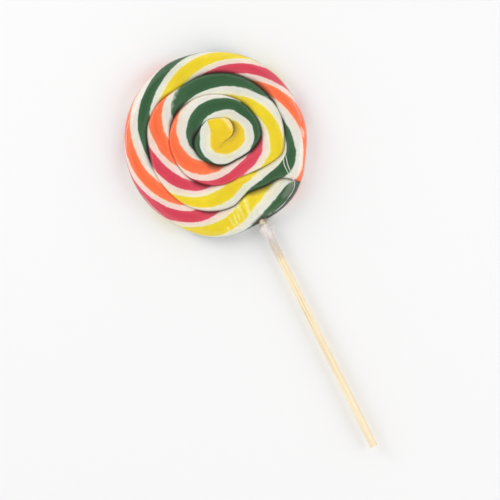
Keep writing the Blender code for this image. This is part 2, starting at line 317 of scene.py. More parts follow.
crease_radius = smooth_curve(CREASE)
depth_share = smooth_curve(GROOVE_DEPTHS)
rim_unevenness = smooth_curve(RIM_UNEVENNESS)
last_green_edge = smooth_curve(LAST_GREEN_EDGE)
last_white_edge = smooth_curve(LAST_WHITE_EDGE)
dip_edge = smooth_curve(DIP_EDGE)
tuck_share, outer_tuck, inner_tuck = (
    smooth_curve([(row[0], row[i]) for row in TUCK_SHADE]) for i in (1, 2, 3))


def rim_radius(turn):
    first = RIM_UNEVENNESS[0][0]
    return DISC_RADIUS - RIM_ROOM + rim_unevenness((turn - first) % LAP + first)


def crease_point(turn):
    """The crease on the plane. It starts on the rim itself."""
    turn = np.asarray(turn, float)
    radius = np.where(turn <= TAIL_TURN, rim_radius(turn), crease_radius(turn))
    return at(turn, radius)


def groove_depth(turn):
    """How deep the groove is at a turn of the crease."""
    return GROOVE_DEPTH * depth_share(turn)


def shoulder(distance, reach, roundness):
    """Share of a drop that is left at a distance from its foot: 1 at the foot, 0 from the reach on."""
    inward = 1 - np.clip(distance / np.maximum(reach, TINY), 0, 1)
    return 1 - (1 - inward ** roundness) ** (1 / roundness)


def crease_distance(points):
    """Distance to the crease, and the turn where the crease comes nearest."""
    dive = np.arange(TAIL_TURN, DIVE_END_TURN - DIVE_SAMPLING / 2, DIVE_SAMPLING)
    coil = np.arange(DIVE_END_TURN, CREASE_END_TURN + CREASE_SAMPLING / 2, CREASE_SAMPLING)
    turns = np.concatenate([dive, coil])
    line = crease_point(turns)
    distance = np.empty(len(points))
    nearest = np.empty(len(points))
    for start in range(0, len(points), POINTS_AT_ONCE):
        part = slice(start, start + POINTS_AT_ONCE)
        gap = np.linalg.norm(points[part, None, :] - line[None, :, :], axis=2)
        distance[part] = gap.min(axis=1)
        nearest[part] = turns[gap.argmin(axis=1)]
    return distance, nearest


def stick_trough(points):
    """Share of the thickness that is lost where the stick comes out of the rim."""
    beside = (points[:, 0] - STICK_X) / TROUGH_HALF_WIDTH
    along = np.clip((points[:, 1] - TROUGH_START) / (TROUGH_FULL - TROUGH_START), 0, 1)
    return TROUGH_DEPTH * along * along * (3 - 2 * along) * np.exp(-beside ** 2 / 2)


def rim_share_lost(points, extra=0.0):
    """Share of the half thickness that is lost towards the rim."""
    radius = np.linalg.norm(points, axis=1)
    gap = rim_radius(turn_of(points)) + extra - radius
    return shoulder(gap, RIM_REACH, RIM_ROUNDNESS)


def half_thickness(points, share):
    """Half the candy's thickness, and how much shade is painted on it beside the crease."""
    distance, nearest = crease_distance(points)
    depth = groove_depth(nearest)
    inner_side = share < INNER_SIDE
    reach = np.where(inner_side, GENTLE_REACH, STEEP_REACH) * depth / GROOVE_DEPTH
    roundness = np.where(inner_side, GENTLE_ROUNDNESS, STEEP_ROUNDNESS)
    groove = shoulder(distance, reach, roundness) * depth / FULL_HALF
    left = (1 - groove) * (1 - rim_share_lost(points)) * (1 - stick_trough(points))
    # Shade painted on the colour beside the crease, fading over the reach that the table gives.
    width = np.where(inner_side, outer_tuck(nearest), inner_tuck(nearest)) * MM
    near = 1 - np.clip(distance / width, 0, 1) ** TUCK_ROUNDNESS
    shade = tuck_share(nearest) * near * near * (3 - 2 * near)
    return (FULL_HALF - FILM_ROOM) * left, shade


def strip_turns(turn_step):
    """The turns at which the rope's rows lie, the same in each lap so that the laps share points."""
    steps = np.array(sorted(set(np.arange(0, LAP, turn_step)) | set(TAIL_END_STEPS)))
    laps = np.arange(CREASE_LAPS + 1)[:, None] * LAP
    turns = TAIL_TURN + laps + steps[None, :]
    return np.append(turns.ravel(), CREASE_END_TURN + LAP)


def rope_strip(turns, across):
    """Points of the coiled rope seen from above: one row a turn, from inner to outer crease."""
    inner = crease_point(np.minimum(turns, CREASE_END_TURN))
    on_rim = turns < TAIL_TURN + LAP
    outer = np.where(on_rim[:, None], at(turns, rim_radius(turns)), crease_point(turns - LAP))
    share = across[None, :, None]
    return inner[:, None, :] * (1 - share) + outer[:, None, :] * share


def stripe_share(turns, inner, outer, unrolled):
    """Shares as the stripes see them: where the rope dips in behind its tail, it counts as narrower."""
    dips = (turns > DIP_EDGE[0][0]) & (turns < DIP_EDGE[-1][0])
    seen = np.where(dips, dip_edge(turns), outer)
    return unrolled * ((outer - inner) / np.maximum(seen - inner, MM))[:, None]


def stripe_number(turn, share):
    """Which stripe a point of the rope's skin is in, counted from the tail, as a running number."""
    inside = np.clip(share, -SHARE_MARGIN, 1 + SHARE_MARGIN)
    middle, lean, bow = np.array(STRIPE_ENDS, float).T
    off_crest = (inside[:, None] - INNER_SIDE) / LEAN_SPAN
    ends = middle[None, :] + lean[None, :] * off_crest + bow[None, :] * (2 * off_crest) ** 2
    passed = np.clip((turn[:, None] > ends).sum(axis=1), 1, len(middle) - 1)
    rows = np.arange(len(turn))
    before, after = ends[rows, passed - 1], ends[rows, passed]
    number = passed - 1 + (turn - before) / (after - before)
    tail_white = 1 + (TAIL_GREEN_SHARE - inside) * TAIL_GREEN_SLOPE
    number = np.where(turn < TAIL_GREEN_TURN, np.maximum(number, tail_white), number)
    green, white = last_green_edge(turn), last_white_edge(turn)
    between = LAST_GREEN + 1 + (green - inside) / np.maximum(green - white, NARROWEST_WHITE)
    outer_green = LAST_GREEN + 1 - np.minimum((inside - green) * GREEN_SLOPE, INTO_STRIPE)
    inner_yellow = LAST_GREEN + 2 + np.minimum((white - inside) * YELLOW_SLOPE, INTO_STRIPE)
    curled = np.where(inside > green, outer_green, np.where(inside > white, between, inner_yellow))
    number = np.where(turn > INNER_END_TURN, curled, number)
    return number - (share - inside) * STRIPES_PER_SHARE


def crest_wave(points):
    """Hand-rolled unevenness of the crests, between -1 and 0."""
    values = [noise.noise(Vector((x / WAVE_LENGTH, y / WAVE_LENGTH, WAVE_SLICE))) for x, y in points]
    return np.clip(np.array(values) * WAVE_GAIN - WAVE_DROP, -1, 0)


def mesh_from(name, points, quads, corner_values):
    """A smooth mesh whose twin points are merged. Corner values go by name, one for each point."""
    made = bpy.data.meshes.new(name)
    made.from_pydata(points.tolist(), [], quads)
    corners = np.array([i for quad in quads for i in quad])
    for key, values in corner_values.items():
        layer = made.attributes.new(key, "FLOAT", "CORNER")
        layer.data.foreach_set("value", values[corners].astype(np.float32))
    mesh = bmesh.new()
    mesh.from_mesh(made)
    bmesh.ops.remove_doubles(mesh, verts=mesh.verts, dist=MERGE_DISTANCE)
    bmesh.ops.dissolve_degenerate(mesh, edges=mesh.edges, dist=SHORTEST_EDGE)
    bmesh.ops.recalc_face_normals(mesh, faces=mesh.faces)
    mesh.to_mesh(made)
    mesh.free()
    made.shade_smooth()
    return made


def add_piece(name, mesh, material, replaced=None):
    piece = bpy.data.objects.new(name, mesh)
    bpy.context.scene.collection.objects.link(piece)
    mesh.materials.clear()
    mesh.materials.append(material)
    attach(piece, "root")
    if replaced:
        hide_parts(replaced)


def rope_rows(turns, columns):
    """The rope's skin as rows across it: plan points, heights over the middle plane, and painted shade.
    """
    across = 0.5 - 0.5 * np.cos(np.linspace(0, math.pi, columns))
    strip = rope_strip(turns, across)
    flat = strip.reshape(-1, 2)
    sides = np.where(turns[:, None] > CURL_TURN, 1.0, across[None, :])
    half, shade = half_thickness(flat, sides.ravel())
    return strip, half.reshape(strip.shape[:2]), shade.reshape(strip.shape[:2]), across


def grid_quads(base, rows, columns):
    """The faces of a grid of points that are numbered row by row from a base."""
    quads = []
    for row in range(rows - 1):
        for column in range(columns - 1):
            corner = base + row * columns + column
            quads.append((corner, corner + 1, corner + columns + 1, corner + columns))
    return quads


def two_sided(name, plan, upper, lower, values):
    """A closed skin of an upper and a lower sheet over the same plan points."""
    rows, columns = plan.shape[:2]
    points, quads = [], []
    for side, heights in ((1, upper), (-1, lower)):
        base = len(points) * rows * columns
        height = CENTRE_HEIGHT + side * heights
        points.append(np.column_stack([plan.reshape(-1, 2), height.ravel()]))
        quads += [quad[::-side] for quad in grid_quads(base, rows, columns)]
    stacked = {key: np.concatenate([v.ravel() for v in pair]) for key, pair in values.items()}
    return mesh_from(name, np.concatenate(points), quads, stacked)


def path_line(path, spacing):
    """Points along a smooth path given in millimetres, and their share of its length from an end."""
    knots = np.array(path, float) * MM
    gaps = np.linalg.norm(np.diff(knots, axis=0), axis=1)
    place = np.concatenate([[0], np.cumsum(gaps)])
    steps = np.linspace(0, place[-1], max(int(place[-1] / spacing), 6))
    line = np.stack([smooth_curve(list(zip(place, knots[:, k])))(steps) for k in (0, 1)], axis=1)
    return line, np.minimum(steps, place[-1] - steps) / place[-1]


def along_paths(flat, paths):
    """How strongly points lie on soft-edged lines, each a path, its width and its strength."""
    strongest = np.zeros(len(flat))
    for path, width, strength in paths:
        line, ends = path_line(path, PATH_STEP)
        gap = np.linalg.norm(flat[:, None, :] - line[None, :, :], axis=2)
        near = 1 - np.clip(gap.min(axis=1) / (width * MM / 2), 0, 1) ** 2
        taper = np.clip(ends[gap.argmin(axis=1)] / PATH_TAPER, 0, 1)
        strongest = np.maximum(strongest, strength * near * taper)
    return strongest


def candy_mesh():
    """The candy's skin, with the values that its material needs at each point."""
    turns = strip_turns(TURN_STEP)
    strip, half, shade, across = rope_rows(turns, ROWS_ACROSS + 1)
    crest = np.clip(half / FULL_HALF, 0, 1) ** 2
    upper = half + WAVE_HEIGHT * crest_wave(strip.reshape(-1, 2)).reshape(half.shape) * crest
    width = np.maximum(np.linalg.norm(strip[:, -1] - strip[:, 0], axis=1), NARROWEST_ROPE)
    skin = np.concatenate([strip, upper[:, :, None]], axis=2)
    steps = np.linalg.norm(np.diff(skin, axis=1), axis=2) / width[:, None]
    walls = np.where(across[1:] > WALL_SHARE, steps, np.diff(across))
    share = np.concatenate([np.zeros((len(turns), 1)), np.cumsum(walls, axis=1)], axis=1)
    rim = np.where(turns < TAIL_TURN + LAP, share[:, -1], RIM_SHARE)[:, None]
    inner = np.linalg.norm(strip[:, 0], axis=1)
    outer = np.linalg.norm(strip[:, -1], axis=1)
    around = (share, 2 * rim - share)
    numbers = []
    for side in around:
        seen = stripe_share(turns, inner, outer, side)
        numbers.append(stripe_number(np.repeat(turns, side.shape[1]), seen.ravel()))
    radius = np.linalg.norm(strip, axis=2)
    golden = np.clip((GOLD_FROM - radius) / GOLD_FROM * GOLD_GAIN, 0, 1)
    golden *= np.clip(1 - strip[:, :, 1] / GOLD_FADE, LEAST_GOLD, 1)
    values = {"stripe": numbers, "shade": (shade, shade), "around": around, "inner": (golden, golden)}
    flat = strip.reshape(-1, 2)
    # Painted highlights, a painted glint and a mark, and painted shade by the stick.
    marks = {"gleam": FILM_FOLDS, "lip": PAINTED_LIP_HIGHLIGHT, "glint_and_mark": GLINT_AND_MARK, "painted_shade": PAINTED_EDGE_SHADE}
    for mark, paths in marks.items():
        strength = along_paths(flat, paths).reshape(golden.shape)
        if mark == "lip":
            strength = np.where(turns[:, None] > CURL_TURN, strength, 0)
        values[mark] = (strength, strength * 0)
    return two_sided("candy_rope", strip, upper, half, values)


def linear(colour):
    """A colour given in 0 to 255 as it looks, as the linear values that shaders use."""
    scaled = [c / 255 for c in colour]
    return tuple(c / 12.92 if c <= 0.04045 else ((c + 0.055) / 1.055) ** 2.4 for c in scaled) + (1.0,)


class Nodes:
    """A short way to write a material's node tree."""

    def __init__(self, name):
        self.material = bpy.data.materials.new(name)
        self.material.use_nodes = True
        self.tree = self.material.node_tree
        self.tree.nodes.clear()
        self.output = self.tree.nodes.new("ShaderNodeOutputMaterial")

    def add(self, kind, settings=None, **inputs):
        node = self.tree.nodes.new("ShaderNode" + kind)
        for key, value in (settings or {}).items():
            setattr(node, key, value)
        for key, value in inputs.items():
            self.set(node, key.replace("_", " "), value)
        return node

    def set(self, node, key, value):
        socket = node.inputs[int(key)] if key.isdigit() else node.inputs[key]
        if isinstance(value, bpy.types.NodeSocket):
            self.tree.links.new(value, socket)
        elif value is not None:
            socket.default_value = value

    def math(self, operation, first, second=None, third=None, clamp=False):
        node = self.add("Math", {"operation": operation, "use_clamp": clamp})
        for i, value in enumerate((first, second, third)):
            self.set(node, str(i), value)
        return node.outputs[0]

    def mix(self, share, first, second, blend="MIX"):
        node = self.add("Mix", {"data_type": "RGBA", "blend_type": blend})
        self.set(node, "0", share)
        self.set(node, "6", first)
        self.set(node, "7", second)
        return node.outputs[2]

    def between(self, value, low, high):
        """A value from 0 to 1 spread from low to high."""
        return self.math("MULTIPLY_ADD", value, high - low, low)

    def dimmed(self, colour, light):
        """A colour times a brightness."""
        grey = self.add("CombineXYZ", X=light, Y=light, Z=light).outputs[0]
        return self.mix(1.0, colour, grey, "MULTIPLY")

    def object_place(self):
        return self.add("TexCoord").outputs["Object"]

    def stretched(self, vector, scale):
        return self.add("Mapping", Vector=vector, Scale=scale).outputs[0]

    def blend(self, share, first, second):
        """A mix of two shaders."""
        node = self.add("MixShader", Fac=share)
        self.set(node, "1", first)
        self.set(node, "2", second)
        return node.outputs[0]

    def attribute(self, name):
        return self.add("Attribute", {"attribute_name": name}).outputs["Fac"]

    def noise(self, vector, scale, detail=2.0, roughness=0.5):
        node = self.add("TexNoise", Vector=vector, Scale=scale, Detail=detail, Roughness=roughness)
        return node.outputs["Fac"]

    def ramp(self, value, stops):
        node = self.add("ValToRGB", Fac=value)
        ramp = node.color_ramp
        while len(ramp.elements) > 1:
            ramp.elements.remove(ramp.elements[-1])
        ramp.elements[0].position = stops[0][0]
        ramp.elements[0].color = stops[0][1]
        for position, colour in stops[1:]:
            ramp.elements.new(position).color = colour
        return node.outputs["Color"]

    def end(self, shader):
        self.tree.links.new(shader, self.output.inputs["Surface"])
        return self.material


def average(first, second):
    return tuple((a + b) / 2 for a, b in zip(first, second))


def stripe_stops(yellow_edge, yellow):
    """Colour stops for one round of the palette, with soft edges between neighbours."""
    body = {"green": (GREEN_EDGE, GREEN), "yellow": (yellow_edge, yellow),
            "red": (RED_EDGE, RED), "orange": (ORANGE_EDGE, ORANGE)}
    beside = {"green": WHITE_BY_GREEN, "yellow": WHITE_BY_YELLOW,
              "red": WHITE_BY_RED, "orange": WHITE_BY_ORANGE}
    bands = []
    for i, name in enumerate(PALETTE):
        if name == "white":
            before, after = PALETTE[i - 1], PALETTE[(i + 1) % len(PALETTE)]
            colours = (beside[before], WHITE_MIDDLES[i // 2], beside[after])
        else:
            edge, core = body[name]
            colours = (edge, core, edge)
        bands.append([linear(c) for c in colours])
    stops = []
    count = len(PALETTE)
    for i, band in enumerate(bands):
        if i == 0:
            stops.append((0.0, average(bands[-1][2], band[0])))
        stops.append(((i + STRIPE_SOFTNESS) / count, band[0]))
        stops.append(((i + 0.5) / count, band[1]))
        stops.append(((i + 1 - STRIPE_SOFTNESS) / count, band[2]))
    stops.append((1.0, average(bands[-1][2], bands[0][0])))
    return stops


def candy_material():
    """Boiled sugar: soft-edged stripes with pulled streaks, shade painted down in the creases, glossy.
    """
    n = Nodes("boiled sugar")
    place = n.object_place()
    stripe = n.attribute("stripe")
    around = n.attribute("around")
    wobble = n.between(n.noise(place, scale=260.0, detail=3.0), -0.11, 0.11)
    ragged = n.between(n.noise(place, scale=1100.0), -0.05, 0.05)
    number = n.math("ADD", stripe, n.math("ADD", wobble, ragged))
    round_share = n.math("FRACT", n.math("DIVIDE", number, float(len(PALETTE))))
    outer_laps = n.ramp(round_share, stripe_stops(YELLOW_EDGE, YELLOW))
    inner_laps = n.ramp(round_share, stripe_stops(GOLD_EDGE, GOLD))
    # The stripes painted brighter under the film's folds, as a highlight.
    painted_fold_glint = n.ramp(round_share, stripe_stops(YELLOW_GLEAM, YELLOW_GLEAM))
    colour = n.mix(n.attribute("inner"), outer_laps, inner_laps)
    # Over the stripes: painted highlights, a painted glint and a mark, and painted shade by the stick.
    marks = {"gleam": painted_fold_glint, "lip": linear(LIP_HIGHLIGHT), "glint_and_mark": linear(GLINT_AND_MARK_COLOUR), "painted_shade": linear(EDGE_SHADE_COLOUR)}
    for mark, mark_colour in marks.items():
        colour = n.mix(n.attribute(mark), colour, mark_colour)
    pulled = n.add("CombineXYZ", X=n.math("MULTIPLY", stripe, 9.0), Y=n.math("MULTIPLY", around, 1.6))
    streaks = n.noise(pulled.outputs[0], scale=1.0, detail=4.0, roughness=0.6)
    mottle = n.noise(place, scale=420.0, detail=4.0, roughness=0.6)
    uneven = n.noise(place, scale=85.0)
    light = n.math("MULTIPLY", n.between(streaks, 0.92, 1.08), n.between(mottle, 0.94, 1.06))
    light = n.math("MULTIPLY", light, n.between(uneven, 0.88, 1.12))
    colour = n.dimmed(colour, light)
    # Painted shade beside the creases: darker and duller.
    shaded = n.mix(1.0, n.mix(1.0, colour, SHADE_LEAVES, "MULTIPLY"), SHADE_ADDS, "ADD")
    colour = n.mix(n.attribute("shade"), colour, shaded)
    bump_height = n.math("ADD", n.math("MULTIPLY", streaks, 0.5), n.math("MULTIPLY", mottle, 0.5))
    bump = n.add("Bump", Height=bump_height, Strength=0.12, Distance=0.0004)
    shader = n.add("BsdfPrincipled", Base_Color=colour, Roughness=n.between(mottle, 0.36, 0.54),
                   Normal=bump.outputs[0], IOR=1.5, Specular_IOR_Level=0.4, Subsurface_Weight=0.30,
                   Subsurface_Radius=(1.0, 0.6, 0.4), Subsurface_Scale=0.0012)
    return n.end(shader.outputs[0])


def wood_material():
    """Pale sanded wood: fine grain along the stick, in broad bands, with darker pores."""
    n = Nodes("pale wood")
    place = n.object_place()
    grain = n.noise(n.stretched(place, (1600.0, 28.0, 1600.0)), scale=1.0, detail=4.0, roughness=0.6)
    bands = n.noise(n.stretched(place, (300.0, 9.0, 300.0)), scale=1.0)
    pitted = n.noise(n.stretched(place, (2600.0, 160.0, 2600.0)), scale=1.0, detail=1.0)
    pores = n.math("GREATER_THAN", pitted, 0.70)
    colour = n.ramp(grain, [(0.30, linear(WOOD_DARK)), (0.55, linear(WOOD_PALE)),
                            (0.80, linear(WOOD_PALEST))])
    colour = n.dimmed(colour, n.between(bands, 0.93, 1.07))
    colour = n.mix(n.math("MULTIPLY", pores, 0.35), colour, linear(WOOD_PORES))
    bump = n.add("Bump", Height=grain, Strength=0.25, Distance=0.0002)
    shader = n.add("BsdfPrincipled", Base_Color=colour, Roughness=0.62, Normal=bump.outputs[0])
    return n.end(shader.outputs[0])


def film_material(name):
    """Clear film: see-through, glossier at low angles, and milky where a crease doubles it; on the
    creases and folds that milky white also stands in as a painted highlight.
    """
    n = Nodes(name)
    facing = n.add("LayerWeight", Blend=0.5).outputs["Facing"]
    gloss = n.math("MULTIPLY_ADD", n.math("POWER", facing, 4.0), 0.45, 0.03)
    clear = n.add("BsdfTransparent").outputs[0]
    mirror = n.add("BsdfGlossy", Roughness=0.10).outputs[0]
    milky = n.add("BsdfPrincipled", Base_Color=linear(FILM_TINT), Roughness=0.35).outputs[0]
    film = n.blend(gloss, clear, mirror)
    return n.end(n.blend(n.attribute("haze"), film, milky))


def neck_material():
    """Gathered film: milky in its pleats, clearer between them, crinkled all over, with shade painted
    on a loose fold.
    """
    n = Nodes("gathered film")
    place = n.object_place()
    pleats = n.noise(n.stretched(place, (1000.0, 240.0, 1000.0)), scale=1.0, detail=3.0, roughness=0.55)
    crinkle = n.noise(place, scale=900.0, detail=3.0, roughness=0.6)
    alpha = n.math("MULTIPLY", n.attribute("haze"), n.between(pleats, 0.90, 1.30), clamp=True)
    colour = n.ramp(pleats, [(0.30, linear(NECK_DARK)), (0.52, linear(NECK_MIDDLE)),
                             (0.75, linear(NECK_PALE))])
    # Painted shade on a loose fold.
    colour = n.mix(n.attribute("painted_shade"), colour, linear(NECK_FOLD_SHADE))
    height = n.math("ADD", pleats, n.math("MULTIPLY", crinkle, 0.6))
    bump = n.add("Bump", Height=height, Strength=0.15, Distance=0.0004)
    shader = n.add("BsdfPrincipled", Base_Color=colour, Roughness=0.38, Alpha=alpha,
                   Normal=bump.outputs[0], IOR=1.45)
    return n.end(shader.outputs[0])


def floor_material():
    n = Nodes("pale floor")
    shader = n.add("BsdfPrincipled", Base_Color=(0.88, 0.88, 0.88, 1.0), Roughness=0.9)
    return n.end(shader.outputs[0])


def make_candy():
    add_piece("candy_rope", candy_mesh(), candy_material(), "candy")


def make_stick():
    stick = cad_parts["stick"]
    stick.data.materials.clear()
    stick.data.materials.append(wood_material())


# The film over the disc bridges the grooves, sagging a little, and closes in towards the stick. It
# keeps these shares of its room off the candy and of the room at the rim.
FILM_TURN_STEP = 3
FILM_ROWS_ACROSS = 14
FILM_SAG = 0.0004
FILM_IN_TROUGH = 0.8
FILM_OFF_CANDY = 0.45
FILM_OFF_RIM = 0.8
FILM_RIM_FROM = 0.033
FILM_SOFTNESS = 0.0001
FILM_HAZE = 0.004
# Fine pleats over the disc fan out from the top of the neck.
NECK_TOP = -0.0400
FAN_HEIGHT = 0.00007
FAN_REACH = 0.009
COARSE_FAN = 31
FINE_FAN = 53
# How far the film stands off the rim: turn, metres.
FILM_BULGE = (
    (-238, 0.0), (-230, 0.0005), (-224, 0.0004), (-219, 0.0), (-199, 0.0), (-193, 0.0003),
    (-188, 0.0009), (-184, 0.0011), (-180, 0.0008), (-176, 0.0002), (-170, 0.0), (122, 0.0),
)
film_bulge = smooth_curve(FILM_BULGE)


def soft_maximum(first, second):
    return (first + second + np.sqrt((first - second) ** 2 + FILM_SOFTNESS ** 2)) / 2


def bridging_height(flat):
    """The height over the middle plane of film drawn flat from crest to crest."""
    level = FULL_HALF - FILM_SAG
    return level * (1 - rim_share_lost(flat)) * (1 - FILM_IN_TROUGH * stick_trough(flat))


def off_the_rim(flat):
    """Where the film lies that covers these points of the candy: further out, near the rim."""
    radius = np.linalg.norm(flat, axis=1)
    near = np.clip((radius - FILM_RIM_FROM) / (DISC_RADIUS - FILM_RIM_FROM), 0, 1)
    turn = (turn_of(flat) - FILM_BULGE[0][0]) % LAP + FILM_BULGE[0][0]
    stand = (RIM_ROOM * FILM_OFF_RIM + film_bulge(turn)) * near ** 2
    return flat * (1 + stand / np.maximum(radius, MM))[:, None]


def pleat_lift(flat):
    """Fine pleats that fan out from the neck over the disc."""
    from_neck = flat - np.array([STICK_X, NECK_TOP])
    reach = np.linalg.norm(from_neck, axis=1)
    angle = np.arctan2(from_neck[:, 0], from_neck[:, 1])
    coarse = np.sin(angle * COARSE_FAN + 1.5 * np.sin(angle * 9))
    fine = np.sin(angle * FINE_FAN + 0.8)
    return FAN_HEIGHT * (coarse * 0.6 + fine * 0.4) * np.exp(-reach / FAN_REACH)


def film_wrap_mesh():
    """The tight film bag over the disc."""
    turns = strip_turns(FILM_TURN_STEP)
    strip, half, _, _ = rope_rows(turns, FILM_ROWS_ACROSS + 1)
    flat = strip.reshape(-1, 2)
    over = soft_maximum(half.ravel() + FILM_ROOM * FILM_OFF_CANDY, bridging_height(flat))
    rise = np.minimum(over + pleat_lift(flat) * (over > MM), FULL_HALF)
    plan = off_the_rim(flat).reshape(strip.shape)
    rise = rise.reshape(half.shape) * (rise > 0).reshape(half.shape)
    rim = turns < TAIL_TURN + LAP
    rise[rim, -1] = 0
    haze = np.full(half.shape, FILM_HAZE)
    return two_sided("film_wrap", plan, rise, rise, {"haze": (haze, haze)})


# Creases in the film over the shown face, in millimetres: the path, the width and how milky it is.
# Their milky white is partly the doubled film and partly a painted highlight along the crease.
FILM_CREASES = (
    (((25.3, -15.9), (24.2, -17.1), (23.1, -19.2), (22.3, -22.0), (22.3, -25.0), (22.8, -27.6),
      (23.1, -29.4)), 0.60, 0.75),
    (((22.7, -27.0), (23.1, -29.6), (21.9, -32.0), (19.7, -33.8), (17.3, -35.0), (16.3, -35.7)),
     0.60, 0.55),
    (((16.8, -35.2), (15.9, -35.8), (12.5, -37.0), (10.6, -37.5), (9.0, -37.7)), 0.55, 0.50),
    # A broad, faint one: a painted sheen over the green.
    (((22.9, -27.6), (21.9, -29.5), (20.1, -31.2), (18.0, -32.5), (14.6, -34.0)), 3.20, 0.14),
    (((24.9, -16.5), (24.8, -17.6), (24.4, -19.4), (23.8, -21.6), (23.5, -24.7), (24.1, -26.8),
      (25.0, -28.7)), 0.60, 0.75),
    (((8.6, -37.2), (7.5, -37.5), (6.0, -37.7)), 0.50, 0.50),
    (((35.3, -9.9), (35.6, -11.1), (35.5, -13.1), (34.9, -15.4)), 0.60, 0.50),
    (((35.8, -9.3), (36.2, -11.4), (36.0, -14.0)), 0.60, 0.50),
    (((37.4, 3.9), (37.9, -0.5), (37.8, -4.6), (37.0, -9.0)), 0.50, 0.40),
    (((-33.4, -19.3), (-36.5, -12.6), (-38.2, -5.4)), 0.50, 0.40),
    (((-36.5, 13.3), (-32.2, 21.8), (-26.0, 28.9)), 0.50, 0.35),
)


# Broad folds with painted highlights: the path, the width and how bright. The film over them is drawn
# milky and the candy's colour under them is painted brighter.
FILM_FOLDS = (
    (((0.8, -25.7), (0.4, -27.7), (-0.1, -30.3), (-0.3, -32.2), (-0.5, -34.4), (-0.8, -36.2)), 2.1, 1.0),
    (((-3.6, -27.6), (-4.4, -30.2), (-5.0, -32.3), (-5.9, -34.6)), 1.0, 1.0),
    (((-3.0, -28.0), (-3.2, -30.6), (-3.6, -32.9), (-4.1, -35.0)), 1.1, 0.9),
    (((-6.4, -30.2), (-6.6, -32.0), (-6.9, -34.1), (-7.0, -35.9), (-6.9, -38.0)), 1.3, 1.0),
    (((-8.9, -30.8), (-8.9, -33.1), (-8.8, -34.8), (-8.4, -36.3)), 1.6, 0.6),
    (((-11.7, -34.0), (-11.4, -35.9), (-10.8, -37.4)), 1.4, 0.7),
    (((3.1, -32.2), (2.7, -34.2), (2.3, -36.0)), 1.6, 0.6),
)
FOLD_GLINT_HAZE = 0.16
# A crease is a ribbon of so many points across, arched over the film and waving in width.
RIBBON_STEP = 0.0004
RIBBON_COLUMNS = 7
RIBBON_TAPER = 0.22
RIBBON_END_WIDTH = 0.25
RIBBON_LIFT = 0.00009
RIBBON_ARCH = 0.00008
RIBBON_ROUNDNESS = 1.9
RIBBON_ROOM = 0.00010
WOBBLE_SCALE = 260
WOBBLE_SLICE = 5.0


def wrap_height(flat):
    """The height of the film over the middle plane, near enough to lay a crease on it."""
    distance, nearest = crease_distance(flat)
    depth = groove_depth(nearest) / FULL_HALF
    groove = shoulder(distance, (GENTLE_REACH + STEEP_REACH) / 2, RIBBON_ROUNDNESS) * depth
    rim = rim_share_lost(flat, extra=RIM_ROOM)
    left = (1 - groove) * (1 - rim) * (1 - FILM_IN_TROUGH * stick_trough(flat))
    return soft_maximum(FULL_HALF * left, bridging_height(flat))


def crease_ribbon(path, width, haze):
    """Points and haze of one raised crease that narrows and clears towards its ends."""
    line, ends = path_line(path, RIBBON_STEP)
    ahead = np.gradient(line, axis=0)
    ahead /= np.linalg.norm(ahead, axis=1)[:, None]
    beside = np.stack([-ahead[:, 1], ahead[:, 0]], axis=1)
    taper = np.clip(ends / RIBBON_TAPER, 0, 1) ** 0.7
    wobble = np.array([
        0.95 + 0.22 * noise.noise(Vector((x * WOBBLE_SCALE, y * WOBBLE_SCALE, WOBBLE_SLICE)))
        for x, y in line])
    across = np.linspace(-1, 1, RIBBON_COLUMNS)
    spread = (RIBBON_END_WIDTH + (1 - RIBBON_END_WIDTH) * taper) * wobble * width * MM / 2
    flat = line[:, None, :] + beside[:, None, :] * (across[None, :, None] * spread[:, None, None])
    crown = 1 - across ** 2
    lift = RIBBON_LIFT + RIBBON_ARCH * crown[None, :] * taper[:, None]
    height = wrap_height(flat.reshape(-1, 2)).reshape(lift.shape) + lift
    height = np.minimum(height, FULL_HALF + RIBBON_ROOM)
    points = np.concatenate([flat, CENTRE_HEIGHT + height[:, :, None]], axis=2).reshape(-1, 3)
    strength = haze * (taper * wobble)[:, None] * (crown ** 1.2)[None, :]
    return points, strength.ravel(), len(line)


def make_film_creases():
    """All creases and folds over the disc as one piece."""
    points, haze, quads = [], [], []
    folds = tuple((path, width, bright * FOLD_GLINT_HAZE) for path, width, bright in FILM_FOLDS)
    for path, width, strength in FILM_CREASES + folds:
        base = sum(len(p) for p in points)
        ribbon, milky, rows = crease_ribbon(path, width, strength)
        points.append(ribbon)
        haze.append(milky)
        # A ribbon's columns run from right to left, so its faces are turned over to face up.
        quads += [(quad[0], *quad[:0:-1]) for quad in grid_quads(base, rows, RIBBON_COLUMNS)]
    mesh = mesh_from("film_creases", np.concatenate(points), quads, {"haze": np.concatenate(haze)})
    add_piece("film_creases", mesh, film_material("creased film"))


def make_film_wrap():
    add_piece("film_wrap", film_wrap_mesh(), film_material("clear film"))


# The film's neck round the stick, in millimetres: y, left x, right x, half its height, pleat depth
# and how milky it is.
NECK_RINGS = (
    (-39.9, 1.25, 4.65, 1.80, 0.04, 0.15),
    (-40.5, 0.95, 4.75, 2.05, 0.10, 0.60),
    (-41.2, 0.55, 4.80, 2.35, 0.16, 1.0),
    (-42.1, 0.28, 5.20, 2.55, 0.20, 1.0),
    (-43.2, 0.45, 5.80, 2.60, 0.22, 1.0),
    (-44.4, 0.85, 5.75, 2.45, 0.20, 1.0),
    (-45.9, 1.12, 5.35, 2.20, 0.16, 0.90),
    (-47.5, 1.16, 5.00, 2.00, 0.10, 0.78),
    (-49.7, 1.18, 4.88, 1.88, 0.06, 0.60),
    (-52.7, 1.22, 4.82, 1.80, 0.04, 0.48),
    (-55.7, 1.24, 4.78, 1.76, 0.02, 0.32),
    (-58.2, 1.26, 4.74, 1.74, 0.01, 0.0),
)
NECK_PLEATS = 11
NECK_FINE_PLEATS = 17
NECK_TWIST = 0.3
NECK_SIDES = 132
NECK_STEP = 0.35


